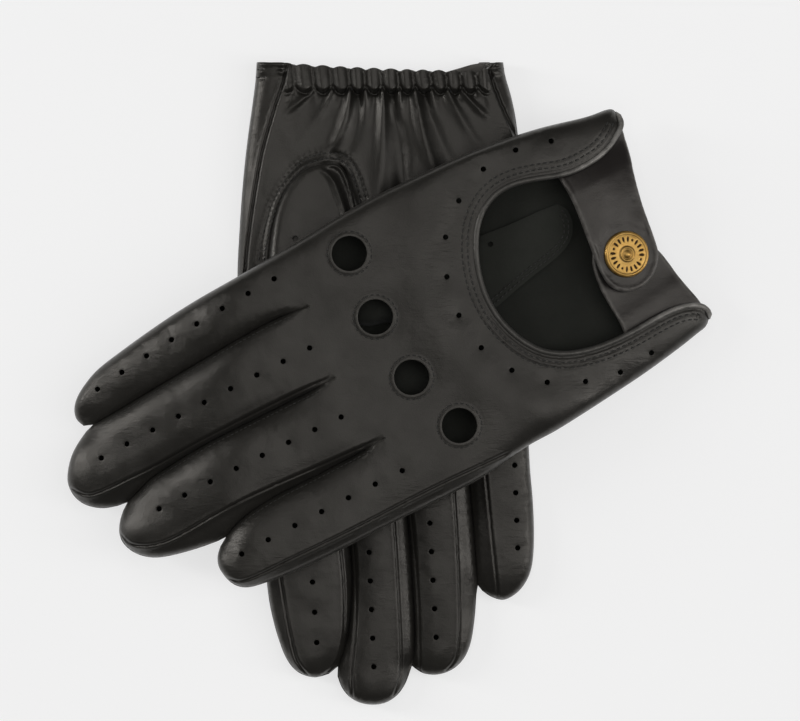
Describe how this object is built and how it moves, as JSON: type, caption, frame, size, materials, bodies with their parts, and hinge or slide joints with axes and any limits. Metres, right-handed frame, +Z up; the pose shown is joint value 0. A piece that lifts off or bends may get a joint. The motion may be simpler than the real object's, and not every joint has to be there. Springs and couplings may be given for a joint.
{
  "type": "pair of driving gloves",
  "caption": "Pair of leather driving gloves with bound back openings, knuckle holes and snap straps, one laid across the other.",
  "frame": {"origin": "centre of the pair's outline, on the surface it lies on", "axes": "+Z up out of the surface; +Y towards the lower glove's cuff; +X towards the upper glove's cuff side"},
  "size_m": [0.2215, 0.22, 0.0304],
  "materials": {
    "glove_leather": "soft hairsheep leather, satin, fine grain",
    "strap_leather": "satin leather strap",
    "bound_edge": "folded leather binding, slightly polished",
    "suede_inside": "matt flesh side of the leather",
    "elastic": "woven elastic tape",
    "stitching": "twisted sewing thread",
    "antique_brass": "antiqued brass with darkened recesses"
  },
  "bodies": {
    "right_hand": {"right_back_panel": "glove_leather", "right_palm_panel": "glove_leather", "right_opening_binding": "bound_edge", "right_knuckle_facings": "suede_inside", "right_elastic_band": "elastic", "right_cuff_hem": "glove_leather", "right_thumb_outer": "glove_leather", "right_thumb_inner": "glove_leather", "right_strap_anchor": "suede_inside", "right_under_tab": "strap_leather", "right_snap_stud": "antique_brass", "right_snap_rivet": "antique_brass", "right_fourchette_roots": "glove_leather"},
    "right_strap": {"right_strap_tab": "strap_leather", "right_strap_lining": "suede_inside", "right_snap_cap": "antique_brass", "right_snap_socket": "antique_brass"},
    "right_index": {"right_index_back": "glove_leather", "right_index_front": "glove_leather", "right_index_fourchettes": "glove_leather"},
    "right_middle": {"right_middle_back": "glove_leather", "right_middle_front": "glove_leather", "right_middle_fourchettes": "glove_leather"},
    "right_ring": {"right_ring_back": "glove_leather", "right_ring_front": "glove_leather", "right_ring_fourchettes": "glove_leather"},
    "right_little": {"right_little_back": "glove_leather", "right_little_front": "glove_leather", "right_little_fourchettes": "glove_leather"},
    "left_hand": {"left_back_panel": "glove_leather", "left_palm_panel": "glove_leather", "left_opening_binding": "bound_edge", "left_knuckle_facings": "suede_inside", "left_elastic_band": "elastic", "left_cuff_hem": "glove_leather", "left_thumb_outer": "glove_leather", "left_thumb_inner": "glove_leather", "left_strap_anchor": "suede_inside", "left_under_tab": "strap_leather", "left_snap_stud": "antique_brass", "left_snap_rivet": "antique_brass"},
    "left_strap": {"left_strap_tab": "strap_leather", "left_strap_lining": "suede_inside", "left_snap_cap": "antique_brass", "left_snap_socket": "antique_brass"},
    "left_index": {"left_index_back": "glove_leather", "left_index_front": "glove_leather", "left_index_fourchettes": "glove_leather"},
    "left_middle": {"left_middle_back": "glove_leather", "left_middle_front": "glove_leather", "left_middle_fourchettes": "glove_leather"},
    "left_ring": {"left_ring_back": "glove_leather", "left_ring_front": "glove_leather", "left_ring_fourchettes": "glove_leather"},
    "left_little": {"left_little_back": "glove_leather", "left_little_front": "glove_leather", "left_little_fourchettes": "glove_leather"}
  },
  "joints": [
    {"name": "left_glove_lift", "type": "slide", "parent": "right_hand", "child": "left_hand", "axis": [0, 0, 1], "range_m": [0, 0.08]},
    {"name": "left_strap_open", "type": "hinge", "parent": "left_hand", "child": "left_strap", "pos_m": [0.06672, 0.0773, 0.0269], "axis": [-0.8727, -0.4226, 0.2444], "range_deg": [0, 150]},
    {"name": "right_strap_open", "type": "hinge", "parent": "right_hand", "child": "right_strap", "pos_m": [-0.0324, 0.092, 0.0025], "axis": [0, 1, 0], "range_deg": [0, 95]},
    {"name": "left_index_lift", "type": "hinge", "parent": "left_hand", "child": "left_index", "pos_m": [-0.02774, 0.03822, 0.0306], "axis": [-0.4226, 0.9063, 0], "range_deg": [0, 35]},
    {"name": "left_middle_lift", "type": "hinge", "parent": "left_hand", "child": "left_middle", "pos_m": [-0.01781, 0.01692, 0.0306], "axis": [-0.4226, 0.9063, 0], "range_deg": [0, 35]},
    {"name": "left_ring_lift", "type": "hinge", "parent": "left_hand", "child": "left_ring", "pos_m": [-0.00661, -0.0071, 0.0306], "axis": [-0.4226, 0.9063, 0], "range_deg": [0, 35]},
    {"name": "left_little_lift", "type": "hinge", "parent": "left_hand", "child": "left_little", "pos_m": [0.00455, -0.03103, 0.0306], "axis": [-0.4226, 0.9063, 0], "range_deg": [0, 35]},
    {"name": "right_index_bend", "type": "hinge", "parent": "right_hand", "child": "right_index", "pos_m": [-0.02854, -0.0742, 0.011], "axis": [-1, 0, 0], "range_deg": [0, 60]},
    {"name": "right_middle_bend", "type": "hinge", "parent": "right_hand", "child": "right_middle", "pos_m": [-0.00792, -0.0572, 0.011], "axis": [-1, 0, 0], "range_deg": [0, 60]},
    {"name": "right_ring_bend", "type": "hinge", "parent": "right_hand", "child": "right_ring", "pos_m": [0.0151, -0.0472, 0.011], "axis": [-1, 0, 0], "range_deg": [0, 60]},
    {"name": "right_little_bend", "type": "hinge", "parent": "right_hand", "child": "right_little", "pos_m": [0.03849, -0.0322, 0.011], "axis": [-1, 0, 0], "range_deg": [0, 60]}
  ]
}
